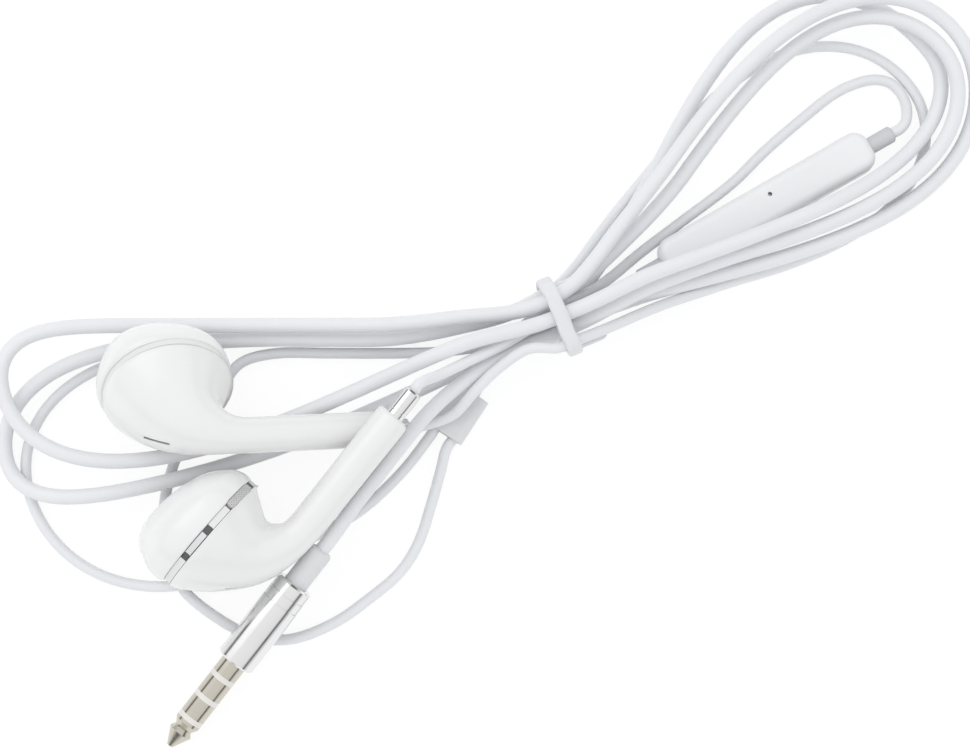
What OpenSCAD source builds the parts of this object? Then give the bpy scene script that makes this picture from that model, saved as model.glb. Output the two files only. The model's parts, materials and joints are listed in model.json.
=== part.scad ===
// Wired in-ear earphones: two earbuds, a cord wound in a figure of eight and tied at its waist,
// an in-line remote, a splitter and a four-contact 3.5 mm plug.
// Millimetres. The earbuds rest on z = 0 and the origin is under the middle of the pair.

/* [Earbuds] */
// Radius of each head at its seam
head_radius = 8.6; // [8.4:0.05:8.7]
// Radius of each stem
stem_radius = 2.35; // [2.25:0.05:2.4]
// Wall of the rear shell
rear_wall = 0.9; // [0.7:0.05:1]
// Wall of the front shell
front_wall = 0.8; // [0.6:0.05:0.9]
// Diameter of the metal ferrule at the end of a stem
ferrule_diameter = 2.5; // [2.3:0.05:2.5]

/* [Cord] */
// Diameter of the main cord
main_cord = 2; // [1.9:0.02:2]
// Diameter of the two cords to the earbuds
ear_cord = 1.45; // [1.35:0.02:1.46]

/* [Remote] */
// Length of the remote
remote_length = 32; // [31:0.25:32]
// Width of the remote
remote_width = 5.6; // [5.2:0.1:5.6]
// Thickness of the remote
remote_thickness = 4.4; // [4.2:0.1:4.4]
// How far a button goes in
button_travel = 0.25; // [0.15:0.05:0.3]
// Gap around each button
button_gap = 0.15; // [0.12:0.01:0.2]

/* [Splitter] */
// Width of the splitter
splitter_width = 5.5; // [5.2:0.1:5.6]
// Thickness of the splitter
splitter_thickness = 2.5; // [2.4:0.1:2.7]
// Length of the splitter's body
splitter_length = 6.6; // [6.2:0.1:6.8]

/* [Plug] */
// Diameter of the plug's contacts
pin_diameter = 3.5; // [3.4:0.05:3.5]
// Length of the plug's contacts beyond the shoulder
pin_length = 14; // [13.5:0.1:14.5]
// Diameter of the plug's barrel
barrel_diameter = 5.3; // [5:0.1:5.4]
// Length of the plug's barrel
barrel_length = 13; // [12:0.25:13.5]

/* [Tie] */
// Width of the tie
tie_width = 2; // [1.6:0.1:2.2]
// Thickness of the tie
tie_thickness = 0.9; // [0.7:0.05:1]

/* [Hidden] */
$fn = 48;
main_r = main_cord / 2;
ear_r = ear_cord / 2;

// where the frame's origin lies in the layout used below
origin = [1.05, -1.1, 0];

// earbuds: x runs along the stem, y across it, z away from the front
left_at = [-10.8, 8.1, 9.5];
left_turn = [3, 21, 50];
right_at = [-5.29, -10.45, 8.62];
right_turn = [48.9, -4.5, 93];
seam_front = 0.12;
seam_back = 0.87;
head_across = head_radius - 0.1;
stem_back = head_radius + 0.55;
stem_start = 10;
stem_end = 27;
stem_lean = 2.3;
ferrule_out = 4;
ferrule_in = 1.2;
ferrule_gap = 0.08;
round_n = 36;
// tilt, share of stem_back, share of stem_start, share from stem to head radius, the same across
rear_rows = [
    [0, seam_back / stem_back, 0, 1, 1],
    [3.5, 0.186, 0, 0.93, 0.951],
    [9.8, 0.448, 0.045, 0.675, 0.74],
    [19, 0.661, 0.125, 0.436, 0.528],
    [31, 0.798, 0.235, 0.289, 0.366],
    [40, 0.907, 0.38, 0.171, 0.22],
    [52.6, 0.973, 0.55, 0.073, 0.098],
    [74, 1, 0.765, 0.008, 0.016],
    [90, 1, 1, 0, 0],
];
// depth, low and high end along the stem, half-width across, all as shares of the head radius; power
front_rows = [
    [seam_front / head_radius, -1.017, 0.995, 0.99, 2.05],
    [0.13, -1.043, 1, 1, 2.1],
    [0.279, -1.023, 0.953, 0.977, 2.2],
    [0.384, -0.988, 0.872, 0.93, 2.3],
    [0.517, -0.919, 0.733, 0.837, 2.3],
    [0.605, -0.872, 0.605, 0.744, 2.3],
    [0.698, -0.779, 0.372, 0.593, 2.3],
    [0.767, -0.64, 0.09, 0.43, 2.3],
    [0.802, -0.5, -0.15, 0.2, 2.1],
    [0.812, -0.34, -0.31, 0.02, 2],
];
outlet_at = head_radius * [0.105, 0, -0.721];
outlet_turn = 168.5;
outlet_r = 1.25;
outlet_half = 0.9;
vent_at = head_radius * [-0.312, 0.214, 0.936];
vent_turn = -38.2;
vent_roll = -16;
vent_long = 3.9;
vent_high = 0.45;
seam_ring_r = head_radius - 0.15;
seam_ring_in = head_radius - 1.25;
seam_step = head_radius - 0.82;
// the driver lies inside the seam ring, and its magnet and coil inside its frame
driver_r = seam_ring_in - 0.55;
magnet_r = driver_r - 2.9;
coil_in = magnet_r + 0.25;
coil_out = coil_in + 0.25;
yoke_out = coil_out + 0.6;
roll_r = driver_r - 1.4;

// remote: x along it, z up
remote_at = [68, 33.1, 2.4];
remote_angle = 30;
remote_round = 1.2;
remote_wall = 0.7;
remote_corner = 2;
relief_length = 3.6;
relief_r = 1.15;
relief_edge = 0.4;
button_w = 3;
button_end_l = 6.6;
button_mid_l = 6;
button_pitch = 8.6;
button_recess = 0.08;

// splitter: x from the two cords towards the one
splitter_at = [25.07, 2.67, splitter_thickness / 2 + 0.05];
splitter_angle = 57;
splitter_round = 1.15;
splitter_pitch = 2.8;
splitter_inset = 0.4;
splitter_neck = 2.2;

// plug: x from the cord towards the tip
plug_at = [9.3, -12.9, 6.4];
plug_angle = 231.7;
plug_dip = 8;
relief_l = 5.6;
plug_relief_r = 1.65;
plug_relief_edge = 0.5;
shoulder = relief_l + barrel_length;
collar_at = relief_l + 1.7;
collar_l = 1.6;
collar_gap = 0.1;
barrel_step = 0.1;
band_l = 0.7;
band_pitch = 3.4;
band_first = 2.25;
core_r = 0.6;

// the waist of the hank
waist = [40.4, 17.4];
waist_angle = 23;
// each pass through the waist: across, up
slots = [
    [2.06, 2.36],
    [0.17, 8.47],
    [2.82, 7.99],
    [-0.19, 3.35],
    [3.96, 5.57],
    [-1.55, 5.41],
    [4.19, 2.93],
    [-3.58, 8.55],
    [1.82, 4.74],
    [0.69, 6.33],
];

// loops of the main cord, in order, and the two loops of the first ear cord:
// length, direction, then width and squareness of the first and second half
loop_shape = [
    [61.7, 36.2, 26.6, 2.1, 14.6, 2],
    [74, 186.2, 19.7, 2.2, 7, 2.2],
    [65.4, 35.4, 20, 1.6, 20.4, 1.7],
    [75.4, 193.9, 10.5, 1.2, 17.9, 2.7],
    [62.6, 34.9, 19.6, 2.3, 17.1, 2],
    [57.2, 33.7, 19.55, 1.27, 17.06, 1.55],
    [73.8, 198.2, 25, 1.3, 22, 2.35],
];
// heights of the cord's middle at every eighth of each loop
loop_rise = [
    [1.3, 3.25, 1.97, 2.45, 3.4, 7.7, 8.49],
    [8.81, 4.79, 5.34, 4.93, 4.92, 5.05, 6.23],
    [6.93, 6.27, 6.44, 5.38, 2.3, 4.09, 3.14],
    [3.48, 1.94, 4.86, 1.72, 2.56, 2.86, 3.17],
    [4.4, 4.03, 4.18, 5.5, 3.92, 5.93, 5.78],
    [1.25, 0.76, 0.76, 0.76, 0.76, 0.76, 4.45],
    [0.76, 0.87, 0.87, 0.76, 0.76, 0.76, 1.1],
];
// slots that each loop joins
loop_slots = [[0, 1], [1, 2], [2, 3], [3, 4], [4, 5], [6, 7], [6, 6]];
// side of the waist that each loop lies on
loop_side = [1, -1, 1, -1, 1, 1, -1];
loop_rings = 24;
loop_bunch = 28;
// least bend of the main cord where it turns back
fold_bend = 3 * main_cord;
// where the second loop of the ear cord rides over the other ear cord
hump_at = [-9.84, -17.35];
hump_rise = 1.92;
hump_wide = 3;

// points that the free stretches follow
plug_route = [
    [11.4, -10.1, 6.5], [13.6, -7, 6.12], [16.2, -3.6, 5.9], [19.4, 0.6, 5.75], [23.3, 5.3, 5.66],
    [27.9, 9.3, 5.62], [33.8, 13, 5.57],
];
splitter_route = [
    [35.9, 15.1, 1.2],
];
left_route = [
    [23.5, 3.9, 3.3], [26.5, 5.1, 4.3], [29.2, 7.9, 6], [32.2, 10.7, 7.2], [36.1, 13.2, 8.21],
];
right_route = [
    [24.9, 9.9, 8.61], [28.6, 11.8, 7.73], [33.2, 14.1, 7],
];
far_route = [
    [24.6, -2.4, 0.87], [23.4, -6.7, 0.76], [21.8, -11.6, 0.76], [19.3, -15.6, 0.76],
    [15.5, -18.9, 0.76], [10.8, -22.2, 0.76], [5, -24.4, 0.76], [-0.4, -23.9, 0.76],
    [-5.7, -21, 0.76], [-9.5, -17.6, 0.76], [-11.6, -12.9, 0.76], [-12, -7.4, 0.76],
    [-11, -2.1, 0.76], [-9.2, 2.2, 0.76], [-6.7, 6, 0.76], [-4.4, 9.2, 0.76], [-1.8, 12.3, 0.76],
    [3, 13.5, 0.76], [9.9, 13.5, 0.76], [19.2, 13.5, 0.76], [25.9, 13.8, 0.8], [32.5, 15.1, 1.21],
];
near_route = [
    [19.3, -2.6, 0.87], [13.7, -7.7, 0.76],
];
remote_route = [
    [46.2, 22.7, 2.0], [51.5, 27.15, 0.83], [56.7, 31.1, 0.8], [63.4, 36.2, 0.8],
    [68.1, 40.8, 0.76], [72.8, 44.9, 0.76], [76.9, 48.2, 0.76], [79.9, 49.8, 0.76],
    [82.6, 50.5, 0.76], [84.7, 50.2, 0.76], [86.1, 49.1, 0.82], [86.9, 47.6, 1.0], [87.1, 46, 1.55],
    [86.8, 44.5, 2.15],
];
// across and along the waist
button_route = [
    [4, 0.68, 5.78], [6, 0.75, 4.85], [8, 0.98, 3.6], [9.5, 1.1, 2.75],
];

white = [0.93, 0.93, 0.92];
grey = [0.7, 0.71, 0.73];
dark = [0.16, 0.16, 0.17];
metal = [0.8, 0.8, 0.82];
cord_white = [0.9, 0.91, 0.93];

// ---- points and directions ----

function turn_x(p, a) = [p.x, p.y * cos(a) - p.z * sin(a), p.y * sin(a) + p.z * cos(a)];
function turn_y(p, a) = [p.x * cos(a) + p.z * sin(a), p.y, p.z * cos(a) - p.x * sin(a)];
function turn_z(p, a) = [p.x * cos(a) - p.y * sin(a), p.x * sin(a) + p.y * cos(a), p.z];
function turned(p, t) = turn_z(turn_y(turn_x(p, t.z), t.y), t.x);
function unit(v) = v / norm(v);
function heading(a) = [cos(a), sin(a)];

// height of the stem's axis behind the seam
function stem_axis(v) = stem_back - (v - stem_start) * tan(stem_lean);
function stem_point(at, turn, v) = at + turned([v, 0, stem_axis(v)], turn);

// ---- routes ----

function blend(p0, p1, p2, p3, f) =
    0.5 * (2 * p1 + (p2 - p0) * f + (2 * p0 - 5 * p1 + 4 * p2 - p3) * f * f
        + (3 * p1 - p0 - 3 * p2 + p3) * f * f * f);

// a smooth line through the points, with n steps between each two
function through(c, n) = [
    for (i = [0:len(c) - 2])
        let (
            p0 = i > 0 ? c[i - 1] : 2 * c[0] - c[1],
            p3 = i + 2 < len(c) ? c[i + 2] : 2 * c[i + 1] - c[i]
        )
            for (k = [0:n - 1]) blend(p0, c[i], c[i + 1], p3, k / n),
    c[len(c) - 1],
];

function waist_point(along, across, up) =
    let (a = heading(waist_angle))
        [
            waist.x + along * a.x - across * a.y,
            waist.y + along * a.y + across * a.x,
            up,
        ];
function slot_point(s, along = 0) = waist_point(along, slots[s][0], slots[s][1]);

// slope at a height so that the line never swings past its neighbours
function slope(z, i) =
    i <= 0 || i >= len(z) - 1 ? 0
    : let (a = z[i] - z[i - 1], b = z[i + 1] - z[i]) a * b <= 0 ? 0 : 2 * a * b / (a + b);

function rise(z, t) =
    let (s = t / 360 * (len(z) - 1), i = min(floor(s), len(z) - 2), f = s - i)
        z[i] + f * f * (3 - 2 * f) * (z[i + 1] - z[i])
        + f * (1 - f) * (1 - f) * slope(z, i) - f * f * (1 - f) * slope(z, i + 1);

// a point on a drop-shaped loop that starts and ends at the waist
function loop_point(n, t) =
    let (
        p = loop_shape[n],
        a = heading(p[1]),
        base = loop_side[n] * heading(waist_angle),
        x = p[0] * (1 - cos(t)) / 2,
        s = abs(sin(t / 2)),
        wide = t <= 180 ? p[2] : p[4],
        more = max(0, sqrt(fold_bend * p[0] / 2) - wide),
        y = sin(t) * (wide * pow(s, t <= 180 ? p[3] : p[5]) + more * pow(s, 14)),
        c = pow(max(0, 1 - x / 14), 2),
        k = pow(max(0, 1 - x / 24), 1.4),
        from = slots[loop_slots[n][0]],
        to = slots[loop_slots[n][1]],
        u = (t < 180 ? from[0] : to[0]) * k,
        w = heading(waist_angle),
        z = rise([from[1], each loop_rise[n], to[1]], t)
    )
        [
            waist.x + x * ((1 - c) * a.x + c * base.x) - y * a.y - u * w.y,
            waist.y + x * ((1 - c) * a.y + c * base.y) + y * a.x + u * w.x,
            z,
        ];

// turns along the loop, closer together round its far end
function loop_turn(f) = 360 * f + loop_bunch * sin(360 * f);
function loop_line(n, steps) = [for (i = [0:steps - 1]) loop_point(n, loop_turn(i / steps))];

function hank_line(steps) = [
    for (n = [0:4]) each loop_line(n, steps),
    slot_point(5),
];

function humped(p) =
    let (d = norm([p.x - hump_at.x, p.y - hump_at.y]))
        [p.x, p.y, p.z + hump_rise * exp(-d * d / (2 * hump_wide * hump_wide))];

splitter_out = [sin(splitter_angle), -cos(splitter_angle), 0] * splitter_pitch / 2;
splitter_along = [cos(splitter_angle), sin(splitter_angle), 0];
function splitter_exit(side) = splitter_at + splitter_out * side + splitter_along * splitter_inset;

function ear_loops_line(steps) =
    let (
        out = splitter_exit(-1),
        from = 0.197,
        meet = loop_point(6, loop_turn(from)),
        lead = through([out, out - splitter_along * 2, each near_route, meet], 2)
    )
        [
            for (i = [0:len(lead) - 2]) lead[i],
            for (i = [0:steps - 1])
                humped(loop_point(6, loop_turn(from + (1 - from) * i / steps))),
            each loop_line(5, steps),
            slot_point(7),
        ];

function remote_end(side, out) =
    remote_at + side * (remote_length / 2 + out) * [cos(remote_angle), sin(remote_angle), 0];

function far_line(n) =
    let (out = splitter_exit(1))
        through(
            [
                out,
                out - splitter_along * 2,
                each far_route,
                slot_point(8, -2),
                slot_point(8, 2),
                each remote_route,
                remote_end(1, relief_length + 1.2),
                remote_end(1, relief_length),
            ],
            n
        );
function plug_line(n) =
    let (a = turned([1, 0, 0], [plug_angle, plug_dip, 0]))
        through([plug_at, plug_at - 2 * a, each plug_route, slot_point(5, -2), slot_point(5)], n);
function splitter_line(n) =
    let (out = splitter_at + splitter_along * (splitter_length + splitter_neck))
        through([out, out + splitter_along * 2, each splitter_route, slot_point(0)], n);
function left_line(n) =
    through(
        [
            stem_point(left_at, left_turn, stem_end + ferrule_out),
            stem_point(left_at, left_turn, stem_end + ferrule_out + 1),
            each left_route,
            slot_point(7, -2),
            slot_point(7),
        ],
        n
    );
function right_line(n) =
    through(
        [
            stem_point(right_at, right_turn, stem_end + ferrule_out),
            stem_point(right_at, right_turn, stem_end + ferrule_out + 1.5),
            each right_route,
            slot_point(9, -2),
            slot_point(9, 2),
            for (q = button_route) waist_point(q[0], q[1], q[2]),
            remote_end(-1, relief_length + 1.1),
            remote_end(-1, relief_length),
        ],
        n
    );

// ---- tubes and lofts ----

function headings(p) = [
    for (i = [0:len(p) - 1]) unit(p[min(i + 1, len(p) - 1)] - p[max(i - 1, 0)]),
];
function square_to(t) = unit(cross(t, abs(t.z) < 0.9 ? [0, 0, 1] : [1, 0, 0]));
function carried(u, t) = unit(u - (u * t) * t);
// an across direction at each point, carried on with the least twist
function acrosses(t) = [
    for (i = 0, u = square_to(t[0]); i < len(t); i = i + 1, u = i < len(t) ? carried(u, t[i]) : u) u,
];
function tube_rings(p, r, n) =
    let (t = headings(p), u = acrosses(t))
        [
            for (i = [0:len(p) - 1])
                let (v = cross(t[i], u[i]))
                    [for (k = [0:n - 1]) p[i] + r * (cos(360 * k / n) * u[i] + sin(360 * k / n) * v)],
        ];

// one skin over the rings: capped at both ends, or closed on itself
module skin(rings, closed = false) {
    n = len(rings[0]);
    m = len(rings);
    last = closed ? m - 1 : m - 2;
    sides = [
        for (i = [0:last], k = [0:n - 1])
            let (
                a = i * n + k,
                b = i * n + (k + 1) % n,
                c = ((i + 1) % m) * n + k,
                d = ((i + 1) % m) * n + (k + 1) % n
            )
                each [[a, c, d], [a, d, b]],
    ];
    ends = closed ? [] : [
        for (k = [1:n - 2]) [0, k, k + 1],
        for (k = [1:n - 2]) [(m - 1) * n, (m - 1) * n + k + 1, (m - 1) * n + k],
    ];
    polyhedron(points = [for (r = rings) each r], faces = concat(sides, ends), convexity = 8);
}

module tube(line, r, n) {
    skin(tube_rings(line, r, n));
}

module layout() {
    translate(-origin) children();
}

// least gap between two stretches of the wound cord that aren't neighbours
function part_way(p, n) = [
    for (i = [0:len(p) - 2], k = [0:n - 1]) p[i] + (p[i + 1] - p[i]) * k / n,
];
function least_gap(p, r, skip) = min([
    for (i = [0:len(p) - 1 - skip])
        min([for (j = [i + skip:len(p) - 1]) norm(p[i] - p[j])]),
]) - 2 * r;

// ---- earbuds ----

module left_bud() {
    layout() translate(left_at) rotate([0, 0, left_turn.x]) rotate([0, left_turn.y, 0])
        rotate([left_turn.z, 0, 0]) mirror([0, 1, 0]) children();
}

module right_bud() {
    layout() translate(right_at) rotate([0, 0, right_turn.x]) rotate([0, right_turn.y, 0])
        rotate([right_turn.z, 0, 0]) children();
}

function smooth_rows(rows, n) = [
    for (i = [0:len(rows) - 2], k = [0:n - 1])
        blend(
            rows[max(i - 1, 0)], rows[i], rows[i + 1], rows[min(i + 2, len(rows) - 1)], k / n
        ),
    rows[len(rows) - 1],
];

function rear_ring(row, wall) =
    let (
        t = row[0],
        r = stem_radius + (head_radius - stem_radius) * row[3] - wall,
        w = stem_radius + (head_across - stem_radius) * row[4] - wall
    )
        [
            for (k = [0:round_n - 1])
                let (a = 360 * k / round_n)
                    [
                        stem_start * row[2] + r * cos(a) * cos(t),
                        w * sin(a),
                        stem_back * row[1] - r * cos(a) * sin(t),
                    ],
        ];

function stem_ring(v, r) = [
    for (k = [0:round_n - 1])
        let (a = 360 * k / round_n) [v, r * sin(a), stem_axis(v) - r * cos(a)],
];

function bent(v, e) = sign(v) * pow(abs(v), 2 / e);
function front_ring(row, wall) =
    let (
        mid = head_radius * (row[1] + row[2]) / 2,
        half = max(0.06, head_radius * (row[2] - row[1]) / 2 - wall),
        w = max(0.06, head_radius * row[3] - wall),
        deep = head_radius * row[0] * (1 - wall / (head_radius * 0.812))
    )
        [
            for (k = [0:round_n - 1])
                let (a = 360 * k / round_n)
                    [mid + half * bent(cos(a), row[4]), w * bent(sin(a), row[4]), -deep],
        ];

module oblong(r, half, high) {
    for (y = [-half, half]) translate([0, y, -high / 2]) cylinder(r = r, h = high);
    translate([-r, -half, -high / 2]) cube([2 * r, 2 * half, high]);
}

// placed on the side of the seam, with x along it and z outwards
module on_seam(angle, r) {
    rotate([0, 0, angle]) translate([r, 0, (seam_back - seam_front) / 2])
        rotate([0, 90, 0]) children();
}

mesh_angle = 38.6;
mesh_half = 2.05;
mesh_r = 0.6;

module in_vent() {
    translate(vent_at) rotate([0, vent_turn, 0]) rotate([0, 0, vent_roll]) children();
}

module mesh_recess() {
    on_seam(mesh_angle, head_radius - 0.4) oblong(mesh_r, mesh_half, 1.2);
}

module rear_shell() {
    rows = smooth_rows(rear_rows, 2);
    bore = ferrule_diameter / 2 + ferrule_gap;
    inner = stem_radius - rear_wall;
    floor_at = stem_end - ferrule_in - 0.1;
    color(white) difference() {
        skin(
            [
                for (r = rows) rear_ring(r, 0),
                stem_ring(18, stem_radius),
                stem_ring(stem_end - 0.7, stem_radius),
                stem_ring(stem_end - 0.2, stem_radius - 0.2),
                stem_ring(stem_end, stem_radius - 0.65),
                stem_ring(stem_end, bore),
                stem_ring(floor_at, bore),
                stem_ring(floor_at - 0.2, inner),
                for (i = [len(rows) - 1:-1:0]) rear_ring(rows[i], rear_wall),
            ],
            true
        );
        in_vent() cube([vent_long, vent_high, 3], center = true);
        mesh_recess();
    }
}

module front_shell() {
    rows = smooth_rows(front_rows, 2);
    color(white) difference() {
        skin(
            [
                for (i = [len(rows) - 1:-1:0]) front_ring(rows[i], 0),
                [for (p = front_ring(rows[0], front_wall)) [p.x, p.y, -seam_front]],
                for (i = [1:len(rows) - 1]) front_ring(rows[i], front_wall),
            ]
        );
        translate(outlet_at) rotate([0, outlet_turn, 0]) oblong(outlet_r, outlet_half, 4);
        mesh_recess();
    }
}

module band(from, to, r_in, r_out, low, high) {
    rotate([0, 0, from]) rotate_extrude(angle = to - from)
        translate([r_in, low]) square([r_out - r_in, high - low]);
}

module seam_ring() {
    low = -seam_front + 0.05;
    high = seam_back - 0.05;
    color(grey) difference() {
        union() {
            translate([0, 0, low]) difference() {
                cylinder(r = seam_step, h = high - low);
                translate([0, 0, -1]) cylinder(r = seam_ring_in, h = high - low + 2);
            }
            band(57.9, 88, seam_step - 0.1, seam_ring_r, low, high);
            band(111.6, 379.3, seam_step - 0.1, seam_ring_r, low, high);
        }
        for (a = [15, 84.2, 115.6])
            rotate([0, 0, a]) translate([head_radius + 0.2, 0, 0])
                cube([1.8, 1.1, 2], center = true);
    }
}

module side_mesh() {
    color(dark) on_seam(mesh_angle, head_radius - 0.58) oblong(mesh_r - 0.05, mesh_half, 0.3);
}

module trim() {
    color(metal)
        band(88.4, 111.2, seam_step + 0.03, seam_ring_r + 0.1, 0.1 - seam_front, seam_back - 0.1);
}

module outlet_grille() {
    color(dark) translate(outlet_at) rotate([0, outlet_turn, 0]) translate([0, 0, -0.5])
        oblong(outlet_r - 0.05, outlet_half, 0.4);
}

module rear_vent() {
    color(dark) in_vent() translate([0, 0, -0.4])
        cube([vent_long - 0.1, vent_high - 0.1, 0.4], center = true);
}

module ring(r_in, r_out, low, high) {
    translate([0, 0, low]) difference() {
        cylinder(r = r_out, h = high - low);
        translate([0, 0, -1]) cylinder(r = r_in, h = high - low + 2);
    }
}

module driver_frame() {
    color(grey) {
        ring(driver_r - 0.6, driver_r, -1.4, 1);
        ring(yoke_out + 0.05, driver_r - 0.3, 0.7, 1);
    }
}

module yoke() {
    color(metal) {
        ring(yoke_out - 0.4, yoke_out, -0.2, 1.3);
        translate([0, 0, 1.02]) cylinder(r = yoke_out - 0.2, h = 0.28);
    }
}

module magnet() {
    color(dark) translate([0, 0, -0.2]) cylinder(r = magnet_r, h = 1.22);
}

module top_plate() {
    color(metal) translate([0, 0, -0.5]) cylinder(r = magnet_r + 0.05, h = 0.3);
}

module voice_coil() {
    color([0.72, 0.45, 0.2]) ring(coil_in, coil_out, -1.2, 0.4);
}

module diaphragm() {
    color(grey) rotate_extrude() polygon([
        [0, -1.62], [coil_in / 2, -1.55], [coil_in - 0.05, -1.2], [coil_out + 0.1, -1.2],
        [roll_r, -1.75], [driver_r - 0.05, -1.42], [driver_r - 0.05, -1.57], [roll_r, -1.9],
        [coil_out + 0.1, -1.35], [coil_in - 0.05, -1.35], [coil_in / 2, -1.7], [0, -1.77],
    ]);
}

module ferrule() {
    color(metal) translate([stem_end, 0, stem_axis(stem_end)]) rotate([0, 90 + stem_lean, 0])
        translate([0, 0, -ferrule_in]) difference() {
            cylinder(d = ferrule_diameter, h = ferrule_in + ferrule_out - 0.25);
            translate([0, 0, ferrule_in + 0.6]) ring(ferrule_diameter / 2 - 0.08, 3, 0, 0.25);
        }
    color(metal) translate([stem_end, 0, stem_axis(stem_end)]) rotate([0, 90 + stem_lean, 0])
        translate([0, 0, ferrule_out - 0.26])
            cylinder(d1 = ferrule_diameter, d2 = ferrule_diameter - 0.4, h = 0.26);
}

module left_rear_shell() { left_bud() rear_shell(); }
module left_front_shell() { left_bud() front_shell(); }
module left_seam_ring() { left_bud() seam_ring(); }
module left_side_mesh() { left_bud() side_mesh(); }
module left_trim() { left_bud() trim(); }
module left_outlet_grille() { left_bud() outlet_grille(); }
module left_rear_vent() { left_bud() rear_vent(); }
module left_driver_frame() { left_bud() driver_frame(); }
module left_yoke() { left_bud() yoke(); }
module left_magnet() { left_bud() magnet(); }
module left_top_plate() { left_bud() top_plate(); }
module left_voice_coil() { left_bud() voice_coil(); }
module left_diaphragm() { left_bud() diaphragm(); }
module left_ferrule() { left_bud() ferrule(); }
module right_rear_shell() { right_bud() rear_shell(); }
module right_front_shell() { right_bud() front_shell(); }
module right_seam_ring() { right_bud() seam_ring(); }
module right_side_mesh() { right_bud() side_mesh(); }
module right_trim() { right_bud() trim(); }
module right_outlet_grille() { right_bud() outlet_grille(); }
module right_rear_vent() { right_bud() rear_vent(); }
module right_driver_frame() { right_bud() driver_frame(); }
module right_yoke() { right_bud() yoke(); }
module right_magnet() { right_bud() magnet(); }
module right_top_plate() { right_bud() top_plate(); }
module right_voice_coil() { right_bud() voice_coil(); }
module right_diaphragm() { right_bud() diaphragm(); }
module right_ferrule() { right_bud() ferrule(); }

// ---- remote ----

module remote_place() {
    layout() translate(remote_at) rotate([0, 0, remote_angle]) children();
}

module soft_square(w, h, r) {
    square([w - 2 * r, h], center = true);
    square([w, h - 2 * r], center = true);
    for (x = [-1, 1], y = [-1, 1]) translate([x * (w / 2 - r), y * (h / 2 - r)]) circle(r = r);
}

// a bar with soft edges, and corners of radius c seen from above
module bar(l, w, h, r, c) {
    rotate([90, 0, 90]) linear_extrude(l - 2 * c, center = true) soft_square(w, h, r);
    rotate([90, 0, 0]) linear_extrude(w - 2 * c, center = true) soft_square(l, h, r);
    for (x = [-1, 1], y = [-1, 1])
        translate([x * (l / 2 - c), y * (w / 2 - c), 0]) rotate_extrude() intersection() {
            soft_square(2 * c, h, r);
            translate([0, -h]) square([c, 2 * h]);
        }
}

// a round rod from z = 0 to h, with a soft edge at z = 0
module soft_rod(r, h, edge) {
    rotate_extrude() {
        square([r - edge, h]);
        translate([0, edge]) square([r, h - edge]);
        translate([r - edge, edge]) circle(r = edge);
    }
}

module remote_shell(side) {
    l = remote_length;
    w = remote_width;
    h = remote_thickness;
    difference() {
        bar(l, w, h, remote_round, remote_corner);
        bar(
            l - 2 * remote_wall, w - 2 * remote_wall, h - 2 * remote_wall + 0.1, 0.3,
            remote_corner - remote_wall
        );
        translate([0, 0, -side * (h / 2 - 0.02)]) cube([l + 2, w + 2, h], center = true);
        for (x = [-1, 1]) translate([x * l / 2, 0, 0]) rotate([0, 90, 0])
            cylinder(r = relief_r + 0.05, h = 4, center = true);
        children();
    }
}

module button_shape(l, w, low, high) {
    translate([0, 0, low]) linear_extrude(high - low) {
        square([l - w, w], center = true);
        for (x = [-1, 1]) translate([x * (l - w) / 2, 0]) circle(d = w);
    }
}

remote_low = -remote_thickness / 2;
remote_floor = remote_low + remote_wall - 0.05;

module button(x, l) {
    translate([x, 0, 0]) {
        button_shape(l, button_w, remote_low + button_recess, -1);
        button_shape(l + 0.7, button_w + 0.7, remote_floor + 0.15, -1);
    }
}

module remote_top_shell() {
    color(white) remote_place() remote_shell(1) translate([0.9, 0.9, 0]) cylinder(r = 0.3, h = 5);
}

module remote_bottom_shell() {
    color(white) remote_place() remote_shell(-1) {
        g = 2 * button_gap;
        for (x = [-1, 1]) translate([x * button_pitch, 0, 0])
            button_shape(button_end_l + g, button_w + g, -5, 0);
        button_shape(button_mid_l + g, button_w + g, -5, 0);
    }
}

module button_up() {
    color(white) remote_place() button(button_pitch, button_end_l);
}

module button_middle() {
    color(white) remote_place() button(0, button_mid_l);
}

module button_down() {
    color(white) remote_place() button(-button_pitch, button_end_l);
}

module remote_board() {
    color([0.1, 0.35, 0.2]) remote_place() translate([-13.2, -1.9, -0.35]) cube([26.4, 3.8, 0.6]);
}

module remote_domes() {
    color(metal) remote_place() for (x = [-1, 0, 1])
        translate([x * button_pitch, 0, -0.61]) cylinder(r1 = 1, r2 = 1.4, h = 0.25);
}

module remote_microphone() {
    color(metal) remote_place() translate([-0.4, 0, 0.26]) cube([2.6, 1.8, 0.9]);
}

module remote_relief() {
    translate([0, 0, relief_length]) rotate([180, 0, 0])
        soft_rod(relief_r, relief_length + 1, relief_edge);
}

module remote_relief_near() {
    color(grey) remote_place() translate([-remote_length / 2, 0, 0]) rotate([0, -90, 0])
        remote_relief();
}

module remote_relief_far() {
    color(grey) remote_place() translate([remote_length / 2, 0, 0]) rotate([0, 90, 0])
        remote_relief();
}

// ---- splitter ----

module splitter_place() {
    layout() translate(splitter_at) rotate([0, 0, splitter_angle]) children();
}

module splitter_body() {
    color(white) splitter_place() difference() {
        rotate([90, 0, 90]) linear_extrude(splitter_length)
            soft_square(splitter_width, splitter_thickness, splitter_round);
        translate([-1, 0, 0]) rotate([90, 0, 90]) linear_extrude(1 + splitter_inset)
            soft_square(splitter_width - 0.8, splitter_thickness - 0.8, splitter_round - 0.4);
    }
}

module splitter_neck() {
    color(white) splitter_place() translate([splitter_length, 0, 0]) rotate([0, 90, 0])
        cylinder(r1 = splitter_thickness / 2, r2 = main_r + 0.12, h = splitter_neck);
}

// ---- plug ----

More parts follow.
